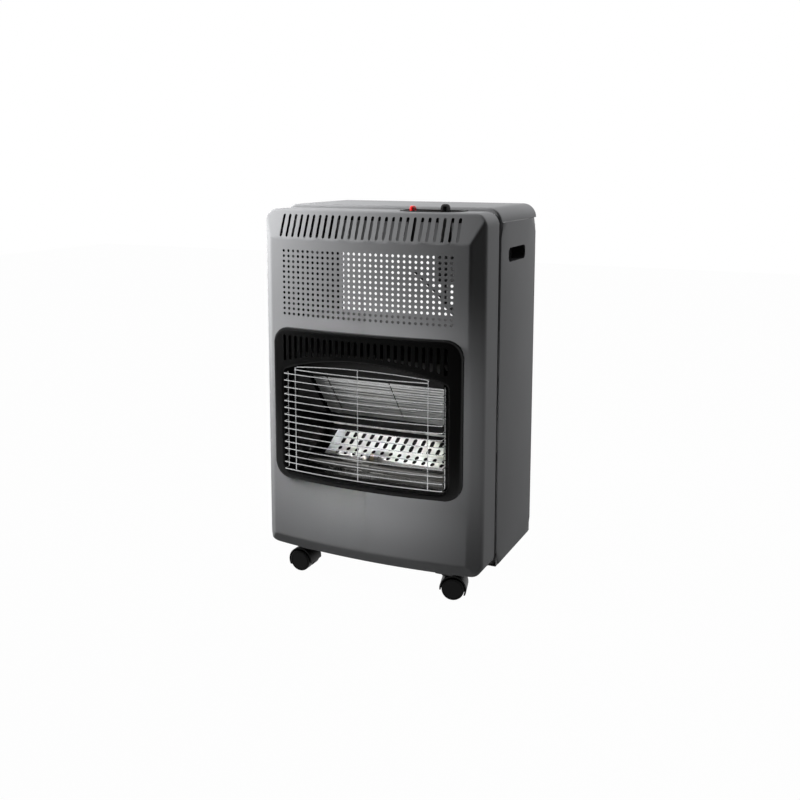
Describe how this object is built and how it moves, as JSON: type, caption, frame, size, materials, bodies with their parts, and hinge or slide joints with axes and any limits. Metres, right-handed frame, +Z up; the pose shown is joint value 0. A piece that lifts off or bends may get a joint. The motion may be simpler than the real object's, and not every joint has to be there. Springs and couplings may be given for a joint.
{
  "type": "portable gas cabinet heater",
  "caption": "Upright gas cabinet heater on twin-wheel casters, with a bowed vented steel front, a guarded burner window, a gas knob, an igniter button and an open back.",
  "frame": {"origin": "middle of the footprint's bounding box, on the floor", "axes": "+Z up; -Y is the side the heat leaves; +X is to the right of someone who looks at the front"},
  "size_m": [0.456, 0.3518, 0.743],
  "materials": {
    "cabinet_paint": "satin metallic grey",
    "black_paint": "satin black",
    "gloss_black": "glossy black enamel",
    "heatproof_black": "matt heatproof black",
    "chrome_wire": "chrome-plated wire",
    "bright_sheet": "bright rolled steel",
    "burner_steel": "plain steel, satin",
    "brass": "plain brass",
    "aluminium": "plain aluminium",
    "ceramic": "white ceramic, unglazed",
    "zinc_steel": "zinc-plated steel",
    "black_plastic": "moulded, fine grain",
    "knob_plastic": "moulded, glossy",
    "red_plastic": "moulded, glossy",
    "lead_sheath": "flexible sheath",
    "wheel_plastic": "moulded nylon"
  },
  "bodies": {
    "cabinet": {"front_panel": "cabinet_paint", "front_frame": "black_paint", "side_panel_left": "cabinet_paint", "side_panel_right": "cabinet_paint", "handle_cup_left": "black_plastic", "handle_cup_right": "black_plastic", "lid": "cabinet_paint", "rear_brace": "cabinet_paint", "base_tray": "black_paint", "panel_screws": "zinc_steel", "socket_screws": "zinc_steel", "bezel": "gloss_black", "guard": "chrome_wire", "guard_clips": "zinc_steel", "burner_box": "heatproof_black", "roof_plate": "heatproof_black", "reflector": "bright_sheet", "side_shield_left": "gloss_black", "side_shield_right": "gloss_black", "burner_body": "burner_steel", "burner_plate": "bright_sheet", "mesh_strip": "burner_steel", "trough": "bright_sheet", "burner_tube": "burner_steel", "injector": "brass", "pilot_bracket": "zinc_steel", "pilot_burner": "brass", "spark_electrode": "ceramic", "thermocouple": "burner_steel", "control_plate": "black_paint", "gas_valve": "aluminium", "valve_nut": "brass", "piezo_igniter": "black_plastic", "piezo_nut": "black_plastic", "hose_tail": "brass", "gas_pipe": "aluminium", "pilot_pipe": "aluminium", "thermocouple_lead": "burner_steel", "ignition_lead": "lead_sheath", "caster_sockets": "black_plastic"},
    "caster_front_left": {"caster_front_left_hood": "wheel_plastic", "caster_front_left_axle": "zinc_steel"},
    "caster_front_left_wheel_a": {"caster_front_left_wheel_a": "wheel_plastic"},
    "caster_front_left_wheel_b": {"caster_front_left_wheel_b": "wheel_plastic"},
    "caster_front_right": {"caster_front_right_hood": "wheel_plastic", "caster_front_right_axle": "zinc_steel"},
    "caster_front_right_wheel_a": {"caster_front_right_wheel_a": "wheel_plastic"},
    "caster_front_right_wheel_b": {"caster_front_right_wheel_b": "wheel_plastic"},
    "caster_rear_left": {"caster_rear_left_hood": "wheel_plastic", "caster_rear_left_axle": "zinc_steel"},
    "caster_rear_left_wheel_a": {"caster_rear_left_wheel_a": "wheel_plastic"},
    "caster_rear_left_wheel_b": {"caster_rear_left_wheel_b": "wheel_plastic"},
    "caster_rear_right": {"caster_rear_right_hood": "wheel_plastic", "caster_rear_right_axle": "zinc_steel"},
    "caster_rear_right_wheel_a": {"caster_rear_right_wheel_a": "wheel_plastic"},
    "caster_rear_right_wheel_b": {"caster_rear_right_wheel_b": "wheel_plastic"},
    "valve_stem": {"valve_stem": "brass"},
    "knob": {"knob": "knob_plastic"},
    "igniter_button": {"igniter_button": "red_plastic"}
  },
  "joints": [
    {"name": "caster_front_left_swivel", "type": "hinge", "parent": "cabinet", "child": "caster_front_left", "pos_m": [-0.148, -0.0924, 0.04], "axis": [0, 0, 1], "continuous": true},
    {"name": "caster_front_left_wheel_a_roll", "type": "hinge", "parent": "caster_front_left", "child": "caster_front_left_wheel_a", "pos_m": [-0.162, -0.0924, 0.0215], "axis": [0, -1, 0], "continuous": true},
    {"name": "caster_front_left_wheel_b_roll", "type": "hinge", "parent": "caster_front_left", "child": "caster_front_left_wheel_b", "pos_m": [-0.162, -0.0924, 0.0215], "axis": [0, -1, 0], "continuous": true},
    {"name": "caster_front_right_swivel", "type": "hinge", "parent": "cabinet", "child": "caster_front_right", "pos_m": [0.148, -0.0924, 0.04], "axis": [0, 0, 1], "continuous": true},
    {"name": "caster_front_right_wheel_a_roll", "type": "hinge", "parent": "caster_front_right", "child": "caster_front_right_wheel_a", "pos_m": [0.16152, -0.08878, 0.0215], "axis": [-0.2588, 0.9659, 0], "continuous": true},
    {"name": "caster_front_right_wheel_b_roll", "type": "hinge", "parent": "caster_front_right", "child": "caster_front_right_wheel_b", "pos_m": [0.16152, -0.08878, 0.0215], "axis": [-0.2588, 0.9659, 0], "continuous": true},
    {"name": "caster_rear_left_swivel", "type": "hinge", "parent": "cabinet", "child": "caster_rear_left", "pos_m": [-0.148, 0.1239, 0.04], "axis": [0, 0, 1], "continuous": true},
    {"name": "caster_rear_left_wheel_a_roll", "type": "hinge", "parent": "caster_rear_left", "child": "caster_rear_left_wheel_a", "pos_m": [-0.148, 0.1379, 0.0215], "axis": [-1, 0, 0], "continuous": true},
    {"name": "caster_rear_left_wheel_b_roll", "type": "hinge", "parent": "caster_rear_left", "child": "caster_rear_left_wheel_b", "pos_m": [-0.148, 0.1379, 0.0215], "axis": [-1, 0, 0], "continuous": true},
    {"name": "caster_rear_right_swivel", "type": "hinge", "parent": "cabinet", "child": "caster_rear_right", "pos_m": [0.148, 0.1239, 0.04], "axis": [0, 0, 1], "continuous": true},
    {"name": "caster_rear_right_wheel_a_roll", "type": "hinge", "parent": "caster_rear_right", "child": "caster_rear_right_wheel_a", "pos_m": [0.148, 0.1379, 0.0215], "axis": [-1, 0, 0], "continuous": true},
    {"name": "caster_rear_right_wheel_b_roll", "type": "hinge", "parent": "caster_rear_right", "child": "caster_rear_right_wheel_b", "pos_m": [0.148, 0.1379, 0.0215], "axis": [-1, 0, 0], "continuous": true},
    {"name": "knob_turn", "type": "hinge", "parent": "cabinet", "child": "valve_stem", "pos_m": [0.1395, -0.0924, 0.7], "axis": [0, 0, 1], "range_deg": [0, 180]},
    {"name": "knob_push", "type": "slide", "parent": "valve_stem", "child": "knob", "axis": [0, 0, -1], "range_m": [0, 0.003], "stiffness_N_per_m": 1000, "springref_m": -0.003},
    {"name": "igniter_push", "type": "slide", "parent": "cabinet", "child": "igniter_button", "axis": [0, 0, -1], "range_m": [0, 0.006], "stiffness_N_per_m": 1500, "springref_m": -0.002}
  ]
}
